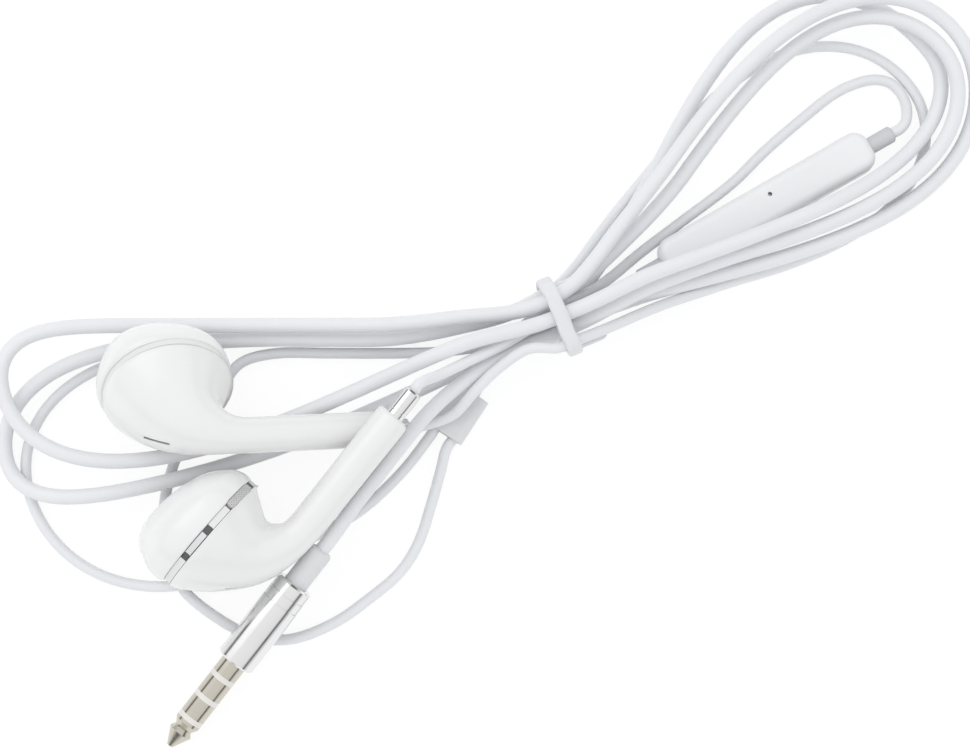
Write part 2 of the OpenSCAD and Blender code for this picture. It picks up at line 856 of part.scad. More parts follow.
module plug_place() {
    layout() translate(plug_at) rotate([0, 0, plug_angle]) rotate([0, plug_dip, 0])
        rotate([0, 90, 0]) children();
}

band_1 = shoulder + band_first;
band_2 = band_1 + band_pitch;
band_3 = band_2 + band_pitch;
pin_r = pin_diameter / 2;
barrel_r = barrel_diameter / 2;

module plug_relief() {
    color(white) plug_place() soft_rod(plug_relief_r, relief_l + 0.75, plug_relief_edge);
}

module plug_barrel() {
    c = 0.25;
    r = barrel_r - barrel_step;
    color(metal) plug_place() difference() {
        union() {
            translate([0, 0, relief_l]) cylinder(r1 = r - c, r2 = r, h = c);
            translate([0, 0, relief_l + c]) cylinder(r = barrel_r, h = barrel_length - 2 * c);
            translate([0, 0, shoulder - c]) cylinder(r1 = barrel_r, r2 = barrel_r - c, h = c);
        }
        translate([0, 0, relief_l - 1]) cylinder(r = plug_relief_r + 0.05, h = 2);
        translate([0, 0, relief_l + 0.8]) cylinder(r = barrel_r - 0.45, h = barrel_length - 1.3);
        translate([0, 0, shoulder - 1]) cylinder(r = pin_r + 0.03, h = 2);
        ring(barrel_r - 0.25, barrel_r + 1, collar_at, collar_at + collar_l);
        ring(r, barrel_r + 1, relief_l + c, collar_at);
    }
}

module plug_collar() {
    color(metal) plug_place()
        ring(
            barrel_r - 0.23, barrel_r - barrel_step / 2, collar_at + collar_gap,
            collar_at + collar_l - collar_gap
        );
}

module plug_core() {
    color(white) plug_place() {
        translate([0, 0, relief_l + 0.85]) cylinder(r = barrel_r - 0.5, h = barrel_length - 2.4);
        translate([0, 0, relief_l + 1]) cylinder(r = core_r, h = band_3 + band_l + 0.1 - relief_l);
    }
}

module contact(low, high) {
    ring(core_r + 0.02, pin_r, low, high);
}

module plug_sleeve() {
    color(metal) plug_place() {
        ring(core_r + 0.02, pin_r - 0.2, shoulder - 1.4, shoulder + 0.1);
        contact(shoulder, band_1);
    }
}

module plug_ring_2() {
    color(metal) plug_place() contact(band_1 + band_l, band_2);
}

module plug_ring_1() {
    color(metal) plug_place() contact(band_2 + band_l, band_3);
}

module plug_tip() {
    low = band_3 + band_l;
    end = shoulder + pin_length;
    color(metal) plug_place() difference() {
        union() {
            translate([0, 0, low]) cylinder(r = pin_r, h = 0.45);
            translate([0, 0, low + 0.45]) cylinder(r1 = pin_r, r2 = pin_r - 0.55, h = 0.9);
            translate([0, 0, low + 1.35]) cylinder(r1 = pin_r - 0.55, r2 = pin_r - 0.12, h = 0.6);
            translate([0, 0, low + 1.95])
                cylinder(r1 = pin_r - 0.12, r2 = 0.45, h = end - low - 1.95);
        }
        translate([0, 0, low - 1]) cylinder(r = core_r + 0.02, h = 2.3);
    }
}

module plug_bands() {
    color([0.95, 0.95, 0.95]) plug_place() for (b = [band_1, band_2, band_3])
        contact(b, b + band_l);
}

// ---- tie ----

// passes that the tie is drawn round, with a shift across and up
tie_round = [
    [7, 0.2, -0.2], [5, 0, 0], [3, -0.1, -0.1], [0, 0, -0.25], [6, -0.2, -0.1], [4, 0, 0],
    [2, 0, 0], [1, 0, 0.05],
];
tie_path = [for (q = tie_round) slots[q[0]] + [q[1], q[2]]];
tie_in = main_r + 0.1;
tie_bottom = slots[0][1] - 0.25 - tie_in - tie_thickness;
tail_x = 4.6;
tail_r = tie_width * 0.475;
tail_across = -3.2;

module tie_place() {
    layout() translate([waist.x, waist.y, 0]) rotate([0, 0, waist_angle]) children();
}

// the outline round the passes, r away from their middles
module drawn_round(r) {
    n = len(tie_path);
    polygon(tie_path);
    for (i = [0:n - 1]) {
        p = tie_path[i];
        q = tie_path[(i + 1) % n];
        translate(p) circle(r = r);
        translate(p) rotate(atan2(q.y - p.y, q.x - p.x)) translate([0, -r]) square([norm(q - p), r]);
    }
}

module tie_coat() {
    t = tie_thickness;
    color(white) tie_place() difference() {
        union() {
            rotate([90, 0, 90]) linear_extrude(tie_width, center = true) difference() {
                drawn_round(tie_in + t);
                drawn_round(tie_in);
            }
            translate([-tie_width / 2, tail_across - tail_r, tie_bottom])
                cube([tie_width, slots[0][0] - tail_across + tail_r, t]);
            translate([-tie_width / 2, tail_across - tail_r, tie_bottom])
                cube([tail_x + tie_width / 2, 2 * tail_r, t]);
            translate([tail_x, tail_across, tie_bottom]) cylinder(r = tail_r, h = t);
        }
        translate([1, tail_across, tie_bottom + t / 2]) rotate([0, 90, 0])
            cylinder(r = 0.26, h = 2 * tail_x);
    }
}

module tie_wire() {
    color(dark) tie_place() translate([1.05, tail_across, tie_bottom + tie_thickness / 2])
        rotate([0, 90, 0]) cylinder(r = 0.23, h = tail_x + tail_r - 1);
}

// ---- cord ----

module main_cord_hank() {
    line = hank_line(loop_rings);
    echo(least_gap = least_gap(part_way(line, 4), main_r, 24));
    color(cord_white) layout() tube(line, main_r, 6);
}

module plug_lead() {
    color(cord_white) layout() tube(plug_line(1), main_r, 8);
}

module splitter_lead() {
    color(cord_white) layout() tube(splitter_line(1), main_r, 8);
}

module ear_cord_loops() {
    line = ear_loops_line(loop_rings);
    echo(least_ear_gap = least_gap(part_way(line, 4), ear_r, 24));
    color(cord_white) layout() tube(line, ear_r, 6);
}

module far_cord() {
    color(cord_white) layout() tube(far_line(1), ear_r, 8);
}

module left_lead() {
    color(cord_white) layout() tube(left_line(1), ear_r, 8);
}

module right_lead() {
    color(cord_white) layout() tube(right_line(1), ear_r, 8);
}

left_rear_shell();
left_front_shell();
left_seam_ring();
left_side_mesh();
left_trim();
left_outlet_grille();
left_rear_vent();
left_driver_frame();
left_yoke();
left_magnet();
left_top_plate();
left_voice_coil();
left_diaphragm();
left_ferrule();
right_rear_shell();
right_front_shell();
right_seam_ring();
right_side_mesh();
right_trim();
right_outlet_grille();
right_rear_vent();
right_driver_frame();
right_yoke();
right_magnet();
right_top_plate();
right_voice_coil();
right_diaphragm();
right_ferrule();
remote_top_shell();
remote_bottom_shell();
button_up();
button_middle();
button_down();
remote_board();
remote_domes();
remote_microphone();
remote_relief_near();
remote_relief_far();
splitter_body();
splitter_neck();
plug_relief();
plug_barrel();
plug_collar();
plug_core();
plug_sleeve();
plug_ring_2();
plug_ring_1();
plug_tip();
plug_bands();
tie_coat();
tie_wire();
main_cord_hank();
plug_lead();
splitter_lead();
ear_cord_loops();
far_cord();
left_lead();
right_lead();
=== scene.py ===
import json
import math

import bmesh
import bpy
from mathutils import Matrix, Vector


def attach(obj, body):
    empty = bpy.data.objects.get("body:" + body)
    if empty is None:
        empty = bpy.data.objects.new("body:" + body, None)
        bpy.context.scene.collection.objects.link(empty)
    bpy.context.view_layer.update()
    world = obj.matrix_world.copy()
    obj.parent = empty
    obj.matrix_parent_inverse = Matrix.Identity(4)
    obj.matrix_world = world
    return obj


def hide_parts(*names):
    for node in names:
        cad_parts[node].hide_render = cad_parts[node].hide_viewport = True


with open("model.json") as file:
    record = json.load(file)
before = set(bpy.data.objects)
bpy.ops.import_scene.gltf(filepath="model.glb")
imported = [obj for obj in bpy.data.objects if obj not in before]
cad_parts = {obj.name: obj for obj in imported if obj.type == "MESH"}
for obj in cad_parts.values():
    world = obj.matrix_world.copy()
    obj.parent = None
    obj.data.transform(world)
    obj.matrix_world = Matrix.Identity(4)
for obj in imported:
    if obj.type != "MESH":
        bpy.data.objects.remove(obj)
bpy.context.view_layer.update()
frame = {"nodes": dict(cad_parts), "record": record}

# ---- sizes and places, in millimetres of the layout, as in part.scad ----

MM = 0.001
ORIGIN = Vector((1.05, -1.1, 0))
BODY = "earphones"

MAIN_R = 1.0
EAR_R = 0.725

HEAD_R = 8.6
HEAD_ACROSS = 8.5
STEM_R = 2.35
REAR_WALL = 0.9
FRONT_WALL = 0.8
SEAM_FRONT = 0.12
SEAM_BACK = 0.87
SEAM_MIDDLE = (SEAM_BACK - SEAM_FRONT) / 2
FRONT_DEEP = 0.812
STEM_BACK = 9.15
STEM_START = 10
STEM_END = 27
STEM_LEAN = 2.3
STEM_EDGE = 0.7
FERRULE_OUT = 4
FERRULE_R = 1.25
FERRULE_ROOM = 0.08
FERRULE_DEEP = 1.3
LEFT_AT, LEFT_TURN = (-10.8, 8.1, 9.5), (3, 21, 50)
RIGHT_AT, RIGHT_TURN = (-5.29, -10.45, 8.62), (48.9, -4.5, 93)

# Rings of the rear shell: the ring's tilt, then its height, its place along, its radius and its
# half width, each as a share of the way from the head's value to the stem's.
REAR_ROWS = [
    (0, SEAM_BACK / STEM_BACK, 0, 1, 1),
    (3.5, 0.186, 0, 0.93, 0.951),
    (9.8, 0.448, 0.045, 0.675, 0.74),
    (19, 0.661, 0.125, 0.436, 0.528),
    (31, 0.798, 0.235, 0.289, 0.366),
    (40, 0.907, 0.38, 0.171, 0.22),
    (52.6, 0.973, 0.55, 0.073, 0.098),
    (74, 1, 0.765, 0.008, 0.016),
    (90, 1, 1, 0, 0),
]
# Rings of the front shell: depth, near edge, far edge and half width as shares of the head's
# radius, then how square the ring is.
FRONT_ROWS = [
    (SEAM_FRONT / HEAD_R, -1.017, 0.995, 0.99, 2.05),
    (0.13, -1.043, 1, 1, 2.1),
    (0.279, -1.023, 0.953, 0.977, 2.2),
    (0.384, -0.988, 0.872, 0.93, 2.3),
    (0.517, -0.919, 0.733, 0.837, 2.3),
    (0.605, -0.872, 0.605, 0.744, 2.3),
    (0.698, -0.779, 0.372, 0.593, 2.3),
    (0.767, -0.64, 0.09, 0.43, 2.3),
    (0.802, -0.5, -0.15, 0.2, 2.1),
    (FRONT_DEEP, -0.34, -0.31, 0.02, 2),
]
OUTLET_AT, OUTLET_TURN, OUTLET_R, OUTLET_HALF = (0.9, 0, -6.2), 168.5, 1.25, 0.9
VENT_AT, VENT_TURN, VENT_ROLL, VENT_LONG, VENT_HIGH = (-2.683, 1.84, 8.05), -38.2, -16, 3.9, 0.45
MESH_ANGLE, MESH_HALF, MESH_R = 38.6, 2.05, 0.6
NOTCH_ANGLES = (15, 84.2, 115.6)
# The notch pads are painted shade: dark blocks that stand in for the shade in the seam ring's notches.
PAD_LONG, PAD_WIDE, PAD_LOW, PAD_HIGH = 1, 0.76, -0.35, 0.2

REMOTE_AT, REMOTE_ANGLE, REMOTE_LONG, RELIEF_LONG = Vector((68, 33.1, 2.4)), 30, 32, 3.6
SPLIT_AT, SPLIT_ANGLE, SPLIT_PITCH = Vector((25.07, 2.67, 1.3)), 57, 2.8
SPLIT_LONG, SPLIT_NECK, SPLIT_INSET = 6.6, 2.2, 0.4
PLUG_AT, PLUG_ANGLE, PLUG_DIP = Vector((9.3, -12.9, 6.4)), 231.7, 8

WAIST, WAIST_ANGLE = Vector((40.4, 17.4)), 23
# Where each strand crosses the waist: across it, and high.
SLOTS = [
    (2.06, 2.36), (0.17, 8.47), (2.82, 7.99), (-0.19, 3.35), (3.96, 5.57),
    (-1.55, 5.41), (4.19, 2.93), (-3.58, 8.55), (1.82, 4.74), (0.69, 6.33),
]
# Each loop: length, heading, then half width and fullness on the way out and on the way back.
LOOP_SHAPE = [
    (61.7, 36.2, 26.6, 2.1, 14.6, 2),
    (74, 186.2, 19.7, 2.2, 7, 2.2),
    (65.4, 35.4, 20, 1.6, 20.4, 1.7),
    (75.4, 193.9, 10.5, 1.2, 17.9, 2.7),
    (62.6, 34.9, 19.6, 2.3, 17.1, 2),
    (57.2, 33.7, 19.55, 1.27, 17.06, 1.55),
    (73.8, 198.2, 25, 1.3, 22, 2.35),
]
# The strand's height at even steps round each loop, between its two slots.
LOOP_RISE = [
    (1.3, 3.25, 1.97, 2.45, 3.4, 7.7, 8.49),
    (8.81, 4.79, 5.34, 4.93, 4.92, 5.05, 6.23),
    (6.93, 6.27, 6.44, 5.38, 2.3, 4.09, 3.14),
    (3.48, 1.94, 4.86, 1.72, 2.56, 2.86, 3.17),
    (4.4, 4.03, 4.18, 5.5, 3.92, 5.93, 5.78),
    (1.25, 0.76, 0.76, 0.76, 0.76, 0.76, 4.45),
    (0.76, 0.87, 0.87, 0.76, 0.76, 0.76, 1.1),
]
LOOP_SLOTS = [(0, 1), (1, 2), (2, 3), (3, 4), (4, 5), (6, 7), (6, 6)]
LOOP_SIDE = [1, -1, 1, -1, 1, 1, -1]
LOOP_BUNCH = 28
NEAR_JOIN = 0.197
FOLD_BEND = 6
HUMP_AT, HUMP_RISE, HUMP_WIDE = (-9.84, -17.35), 1.92, 3

# Points that the straight runs pass, between a loop or a slot and what they end on.
PLUG_ROUTE = [
    (11.4, -10.1, 6.5), (13.6, -7, 6.12), (16.2, -3.6, 5.9), (19.4, 0.6, 5.75),
    (23.3, 5.3, 5.66), (27.9, 9.3, 5.62), (33.8, 13, 5.57),
]
SPLITTER_ROUTE = [(35.9, 15.1, 1.2)]
LEFT_ROUTE = [
    (23.5, 3.9, 3.3), (26.5, 5.1, 4.3), (29.2, 7.9, 6), (32.2, 10.7, 7.2), (36.1, 13.2, 8.21),
]
RIGHT_ROUTE = [(24.9, 9.9, 8.61), (28.6, 11.8, 7.73), (33.2, 14.1, 7)]
FAR_ROUTE = [
    (24.6, -2.4, 0.87), (23.4, -6.7, 0.76), (21.8, -11.6, 0.76), (19.3, -15.6, 0.76),
    (15.5, -18.9, 0.76), (10.8, -22.2, 0.76), (5, -24.4, 0.76), (-0.4, -23.9, 0.76),
    (-5.7, -21, 0.76), (-9.5, -17.6, 0.76), (-11.6, -12.9, 0.76), (-12, -7.4, 0.76),
    (-11, -2.1, 0.76), (-9.2, 2.2, 0.76), (-6.7, 6, 0.76), (-4.4, 9.2, 0.76),
    (-1.8, 12.3, 0.76), (3, 13.5, 0.76), (9.9, 13.5, 0.76), (19.2, 13.5, 0.76),
    (25.9, 13.8, 0.8), (32.5, 15.1, 1.21),
]
NEAR_ROUTE = [(19.3, -2.6, 0.87), (13.7, -7.7, 0.76)]
REMOTE_ROUTE = [
    (46.2, 22.7, 2.0), (51.5, 27.15, 0.83), (56.7, 31.1, 0.8), (63.4, 36.2, 0.8),
    (68.1, 40.8, 0.76), (72.8, 44.9, 0.76), (76.9, 48.2, 0.76), (79.9, 49.8, 0.76),
    (82.6, 50.5, 0.76), (84.7, 50.2, 0.76), (86.1, 49.1, 0.82), (86.9, 47.6, 1.0),
    (87.1, 46, 1.55), (86.8, 44.5, 2.15),
]
BUTTON_ROUTE = [(4, 0.68, 5.78), (6, 0.75, 4.85), (8, 0.98, 3.6), (9.5, 1.1, 2.75)]

# The strands that the tie is drawn round: slot, and how far across and up from it.
TIE_ROUND = [
    (7, 0.2, -0.2), (5, 0, 0), (3, -0.1, -0.1), (0, 0, -0.25), (6, -0.2, -0.1), (4, 0, 0),
    (2, 0, 0), (1, 0, 0.05),
]
TIE_WIDE, TIE_THICK, TIE_IN, TIE_EDGE = 2, 0.9, 1.1, 0.42
TIE_POINTS = 160
TAIL_X, TAIL_ACROSS, TAIL_SHARE, TAIL_EDGE = 4.6, -3.2, 0.475, 0.3

FLOOR_HALF = 3.0
FLOOR_WHITE = 0.93
FLOOR_SHADE = 0.15
FLOOR_LIFT = 0.03
WORLD_FILL, WORLD_FILL_COLOUR = 0.96, (0.98, 0.99, 1)
WORLD_RAMP = [(0.0, 0.75), (0.16, 0.7), (0.24, 0.12), (0.38, 0.12), (0.44, 0.85), (1.0, 0.95)]
KEY_AT, KEY_SIZE, KEY_POWER = (-0.45, 0.4, 0.75), 0.7, 1.3

scene = bpy.context.scene

# ---- camera ----

CAMERA_AIM = Vector((30.53, 10.8, 0))
CAMERA_AWAY, CAMERA_UP = 380, 84
CAMERA_LENS = 105.77

cam_data = bpy.data.cameras.new("camera")
cam_data.lens = CAMERA_LENS
cam_data.sensor_width = 36
cam_data.clip_start = 0.01
cam = bpy.data.objects.new("camera", cam_data)
scene.collection.objects.link(cam)
aim = (CAMERA_AIM - ORIGIN) * MM
up = math.radians(CAMERA_UP)
cam.location = aim + Vector((0, -math.cos(up), math.sin(up))) * CAMERA_AWAY * MM
cam.rotation_euler = (math.radians(90 - CAMERA_UP), 0, 0)
scene.camera = cam


# ---- small helpers ----

def row(p):
    """A layout point in the row frame, in metres."""
    return (Vector(p) - ORIGIN) * MM


def heading(deg):
    return Vector((math.cos(math.radians(deg)), math.sin(math.radians(deg))))


def turn(angles):
    z, y, x = (math.radians(a) for a in angles)
    return Matrix.Rotation(z, 4, "Z") @ Matrix.Rotation(y, 4, "Y") @ Matrix.Rotation(x, 4, "X")


def spline(points, steps):
    """A smooth line through the points, as part.scad draws it."""
    c = [Vector(p) for p in points]
    line = []
    for i in range(len(c) - 1):
        p0 = c[i - 1] if i else 2 * c[0] - c[1]
        p3 = c[i + 2] if i + 2 < len(c) else 2 * c[i + 1] - c[i]
        for k in range(steps):
            f = k / steps
            line.append(0.5 * (
                2 * c[i] + (c[i + 1] - p0) * f
                + (2 * p0 - 5 * c[i] + 4 * c[i + 1] - p3) * f * f
                + (3 * c[i] - p0 - 3 * c[i + 1] + p3) * f ** 3
            ))
    return line + [c[-1]]


def smooth_rows(rows, steps):
    out = []
    for i in range(len(rows) - 1):
        ends = [rows[max(i - 1, 0)], rows[i], rows[i + 1], rows[min(i + 2, len(rows) - 1)]]
        for k in range(steps):
            f = k / steps
            out.append([
                0.5 * (2 * b + (c - a) * f + (2 * a - 5 * b + 4 * c - d) * f * f
                       + (3 * b - a - 3 * c + d) * f ** 3)
                for a, b, c, d in zip(*ends)
            ])
    return out + [list(rows[-1])]


# ---- cord routes ----

def stem_axis(v):
    return STEM_BACK - (v - STEM_START) * math.tan(math.radians(STEM_LEAN))


def stem_point(at, angles, v):
    return Vector(at) + turn(angles) @ Vector((v, 0, stem_axis(v)))


def waist_point(along, across, high):
    a = heading(WAIST_ANGLE)
    return Vector((WAIST.x + along * a.x - across * a.y, WAIST.y + along * a.y + across * a.x, high))


def slot_point(s, along=0):
    return waist_point(along, SLOTS[s][0], SLOTS[s][1])


def slope(z, i):
    if i <= 0 or i >= len(z) - 1:
        return 0
    a, b = z[i] - z[i - 1], z[i + 1] - z[i]
    return 0 if a * b <= 0 else 2 * a * b / (a + b)


def rise(z, t):
    s = t / 360 * (len(z) - 1)
    i = min(int(s), len(z) - 2)
    f = s - i
    return (z[i] + f * f * (3 - 2 * f) * (z[i + 1] - z[i])
            + f * (1 - f) ** 2 * slope(z, i) - f * f * (1 - f) * slope(z, i + 1))


def loop_point(n, t):
    """A point on a drop-shaped loop that starts and ends at the waist."""
    long, angle, wide_1, square_1, wide_2, square_2 = LOOP_SHAPE[n]
    a, w = heading(angle), heading(WAIST_ANGLE)
    base = w * LOOP_SIDE[n]
    x = long * (1 - math.cos(math.radians(t))) / 2
    s = abs(math.sin(math.radians(t / 2)))
    wide, square = (wide_1, square_1) if t <= 180 else (wide_2, square_2)
    more = max(0, math.sqrt(FOLD_BEND * long / 2) - wide)
    y = math.sin(math.radians(t)) * (wide * s ** square + more * s ** 14)
    c = max(0, 1 - x / 14) ** 2
    start, end = (SLOTS[k] for k in LOOP_SLOTS[n])
    u = (start[0] if t < 180 else end[0]) * max(0, 1 - x / 24) ** 1.4
    return Vector((
        WAIST.x + x * ((1 - c) * a.x + c * base.x) - y * a.y - u * w.y,
        WAIST.y + x * ((1 - c) * a.y + c * base.y) + y * a.x + u * w.x,
        rise([start[1], *LOOP_RISE[n], end[1]], t),
    ))


def loop_turn(f):
    return 360 * f + LOOP_BUNCH * math.sin(2 * math.pi * f)


def loop_line(n, steps):
    return [loop_point(n, loop_turn(i / steps)) for i in range(steps)]


def humped(p):
    d = math.hypot(p.x - HUMP_AT[0], p.y - HUMP_AT[1])
    return p + Vector((0, 0, HUMP_RISE * math.exp(-d * d / (2 * HUMP_WIDE ** 2))))


split_along = heading(SPLIT_ANGLE).to_3d()
split_out = Vector((split_along.y, -split_along.x, 0)) * SPLIT_PITCH / 2


def splitter_exit(side):
    return SPLIT_AT + split_out * side + split_along * SPLIT_INSET


def remote_end(side, out):
    return REMOTE_AT + heading(REMOTE_ANGLE).to_3d() * side * (REMOTE_LONG / 2 + out)


LOOP_STEPS = 120
SPAN_STEPS = 8


def main_line():
    """From the splitter's neck, five loops of the hank, then on to the plug."""
    out = SPLIT_AT + split_along * (SPLIT_LONG + SPLIT_NECK)
    first = spline([out, out + split_along * 2, *SPLITTER_ROUTE, slot_point(0)], SPAN_STEPS)
    loops = [p for n in range(5) for p in loop_line(n, LOOP_STEPS)]
    a = turn((PLUG_ANGLE, PLUG_DIP, 0)) @ Vector((1, 0, 0))
    last = spline([PLUG_AT, PLUG_AT - 2 * a, *PLUG_ROUTE, slot_point(5, -2), slot_point(5)], SPAN_STEPS)
    return first[:-1] + loops + last[::-1]


def left_ear_line():
    """From the left stem through the waist, two loops, and back to the splitter."""
    lead = spline([
        stem_point(LEFT_AT, LEFT_TURN, STEM_END + FERRULE_OUT),
        stem_point(LEFT_AT, LEFT_TURN, STEM_END + FERRULE_OUT + 1),
        *LEFT_ROUTE, slot_point(7, -2), slot_point(7),
    ], SPAN_STEPS)
    out = splitter_exit(-1)
    join = loop_point(6, loop_turn(NEAR_JOIN))
    near = spline([out, out - split_along * 2, *NEAR_ROUTE, join], SPAN_STEPS)
    loops = [
        humped(loop_point(6, loop_turn(NEAR_JOIN + (1 - NEAR_JOIN) * i / LOOP_STEPS)))
        for i in range(LOOP_STEPS)
    ]
    back = near[:-1] + loops + loop_line(5, LOOP_STEPS)
    return lead + back[::-1]


def right_ear_line():
    """From the right stem through the waist to the near end of the remote."""
    return spline([
        stem_point(RIGHT_AT, RIGHT_TURN, STEM_END + FERRULE_OUT),
        stem_point(RIGHT_AT, RIGHT_TURN, STEM_END + FERRULE_OUT + 1.5),
        *RIGHT_ROUTE, slot_point(9, -2), slot_point(9, 2),
        *(waist_point(*q) for q in BUTTON_ROUTE),
        remote_end(-1, RELIEF_LONG + 1.1), remote_end(-1, RELIEF_LONG),
    ], SPAN_STEPS)


def far_line():
    """From the far end of the remote through the waist to the splitter."""
    out = splitter_exit(1)
    return spline([
        out, out - split_along * 2, *FAR_ROUTE, slot_point(8, -2), slot_point(8, 2),
        *REMOTE_ROUTE, remote_end(1, RELIEF_LONG + 1.2), remote_end(1, RELIEF_LONG),
    ], SPAN_STEPS)[::-1]


# ---- materials ----

MAT = {}


def material(name, color, rough=0.4, metallic=0.0, tint=0.02, tint_scale=120, bump=0.05,
             bump_scale=900, rough_spread=0.06, coat=0.0, soft=0.0):
    """Plastic, rubber or metal with a slight unevenness of colour, gloss and surface."""
    m = bpy.data.materials.new(name)
    m.use_nodes = True
    nt = m.node_tree
    nodes, links = nt.nodes, nt.links
    bsdf = nodes["Principled BSDF"]
    bsdf.inputs["Metallic"].default_value = metallic
    bsdf.inputs["Coat Weight"].default_value = coat
    bsdf.inputs["Coat Roughness"].default_value = 0.12
    if soft:
        bsdf.inputs["Subsurface Weight"].default_value = soft
        bsdf.inputs["Subsurface Radius"].default_value = (0.0006, 0.0005, 0.0005)
        bsdf.inputs["Subsurface Scale"].default_value = 1.0
    coord = nodes.new("ShaderNodeTexCoord")

    def noise(scale, detail):
        n = nodes.new("ShaderNodeTexNoise")
        n.inputs["Scale"].default_value = scale
        n.inputs["Detail"].default_value = detail
        links.new(coord.outputs["Object"], n.inputs["Vector"])
        return n.outputs["Fac"]

    cloud = noise(tint_scale, 3)
    ramp = nodes.new("ShaderNodeValToRGB")
    ramp.color_ramp.elements[0].position = 0.3
    ramp.color_ramp.elements[1].position = 0.7
    ramp.color_ramp.elements[0].color = (*(max(0, c * (1 - tint)) for c in color), 1)
    ramp.color_ramp.elements[1].color = (*(min(1, c * (1 + tint)) for c in color), 1)
    links.new(cloud, ramp.inputs["Fac"])
    links.new(ramp.outputs["Color"], bsdf.inputs["Base Color"])
    spread = nodes.new("ShaderNodeMapRange")
    spread.inputs["To Min"].default_value = max(0.02, rough - rough_spread)
    spread.inputs["To Max"].default_value = rough + rough_spread
    links.new(noise(tint_scale * 3, 4), spread.inputs["Value"])
    links.new(spread.outputs["Result"], bsdf.inputs["Roughness"])
    relief = nodes.new("ShaderNodeBump")
    relief.inputs["Strength"].default_value = bump
    relief.inputs["Distance"].default_value = 0.0001
    links.new(noise(bump_scale, 5), relief.inputs["Height"])
    links.new(relief.outputs["Normal"], bsdf.inputs["Normal"])
    MAT[name] = m
    return m


MESH_PITCH = 0.00028


def woven_mesh(name, wire, hole, pitch):
    """A fine punched screen: dark holes in a lighter sheet, sunk with bump."""
    m = material(name, wire, rough=0.35, metallic=0.9, tint=0.05, bump=0.0)
    nt = m.node_tree
    nodes, links = nt.nodes, nt.links
    bsdf = nodes["Principled BSDF"]
    coord = nodes.new("ShaderNodeTexCoord")
    cells = nodes.new("ShaderNodeTexVoronoi")
    cells.inputs["Scale"].default_value = 1 / pitch
    cells.inputs["Randomness"].default_value = 0.15
    links.new(coord.outputs["Object"], cells.inputs["Vector"])
    edge = nodes.new("ShaderNodeMapRange")
    edge.inputs["From Min"].default_value = 0.3
    edge.inputs["From Max"].default_value = 0.42
    links.new(cells.outputs["Distance"], edge.inputs["Value"])
    mix = nodes.new("ShaderNodeMix")
    mix.data_type = "RGBA"
    mix.inputs["A"].default_value = (*hole, 1)
    mix.inputs["B"].default_value = (*wire, 1)
    links.new(edge.outputs["Result"], mix.inputs["Factor"])
    links.new(mix.outputs["Result"], bsdf.inputs["Base Color"])
    relief = nodes.new("ShaderNodeBump")
    relief.inputs["Strength"].default_value = 0.6
    relief.inputs["Distance"].default_value = 0.0001
    links.new(edge.outputs["Result"], relief.inputs["Height"])
    links.new(relief.outputs["Normal"], bsdf.inputs["Normal"])


# earbuds
material("shell_white", (0.85, 0.847, 0.84), rough=0.24, coat=0.2, tint=0.008, bump=0.03,
         bump_scale=500, soft=0.08)
material("seam_grey", (0.78, 0.785, 0.77), rough=0.4, bump=0.06)
woven_mesh("dark_mesh", (0.3, 0.3, 0.31), (0.02, 0.02, 0.021), MESH_PITCH)
woven_mesh("side_mesh_grey", (0.74, 0.74, 0.735), (0.5, 0.5, 0.5), MESH_PITCH)
# Painted shade: the colour of the dark pads that stand in for the shade in the seam notches.
material("notch_painted_shade", (0.1, 0.1, 0.1), rough=0.5, tint=0.1, bump=0.1)
material("bright_trim", (0.82, 0.82, 0.84), rough=0.12, metallic=1, bump=0.03)

# driver
material("inner_grey", (0.34, 0.35, 0.36), rough=0.5)
material("steel_inner", (0.5, 0.5, 0.52), rough=0.3, metallic=1)
material("magnet_dark", (0.12, 0.12, 0.13), rough=0.35, metallic=0.6)
material("copper_wire", (0.55, 0.2, 0.06), rough=0.3, metallic=1, bump=0.2, bump_scale=6000)

# cords, ferrules and the parts moulded on the cord
material("bright_metal", (0.82, 0.82, 0.82), rough=0.16, metallic=1, tint=0.02, bump=0.02,
         bump_scale=2500, rough_spread=0.04)
material("cord_white", (0.8, 0.806, 0.825), rough=0.45, tint=0.015, tint_scale=90, bump=0.12,
         bump_scale=2600, soft=0.1)
material("relief_grey", (0.6, 0.6, 0.62), rough=0.5, bump=0.1, bump_scale=2400)
material("moulded_white", (0.73, 0.73, 0.745), rough=0.4, tint=0.01, bump=0.06, bump_scale=2000,
         soft=0.05)

# remote
material("remote_white", (0.84, 0.842, 0.855), rough=0.32, coat=0.1, tint=0.008, bump=0.04,
         bump_scale=1500, soft=0.05)
material("board_green", (0.02, 0.12, 0.05), rough=0.35)

# plug
material("inner_white", (0.7, 0.7, 0.7), rough=0.5)
material("contact_metal", (0.62, 0.585, 0.51), rough=0.16, metallic=1, tint=0.03, bump=0.03,
         bump_scale=2500, rough_spread=0.05)
material("band_white", (0.8, 0.78, 0.74), rough=0.4)

# tie
material("tie_white", (0.76, 0.765, 0.785), rough=0.48, tint=0.03, tint_scale=400, bump=0.25,
         bump_scale=1600)
material("tie_wire_steel", (0.2, 0.2, 0.21), rough=0.35, metallic=0.9)


# ---- meshes ----

def to_object(name, verts, faces, mat, sharp=35):
    mesh = bpy.data.meshes.new(name)
    mesh.from_pydata([tuple(v) for v in verts], [], faces)
    mesh.validate()
    bm = bmesh.new()
    bm.from_mesh(mesh)
    bmesh.ops.recalc_face_normals(bm, faces=bm.faces)
    bm.to_mesh(mesh)
    bm.free()
    mesh.polygons.foreach_set("use_smooth", [True] * len(mesh.polygons))
    mesh.set_sharp_from_angle(angle=math.radians(sharp))
    mesh.materials.append(MAT[mat])
    obj = bpy.data.objects.new(name, mesh)
    scene.collection.objects.link(obj)
    return obj


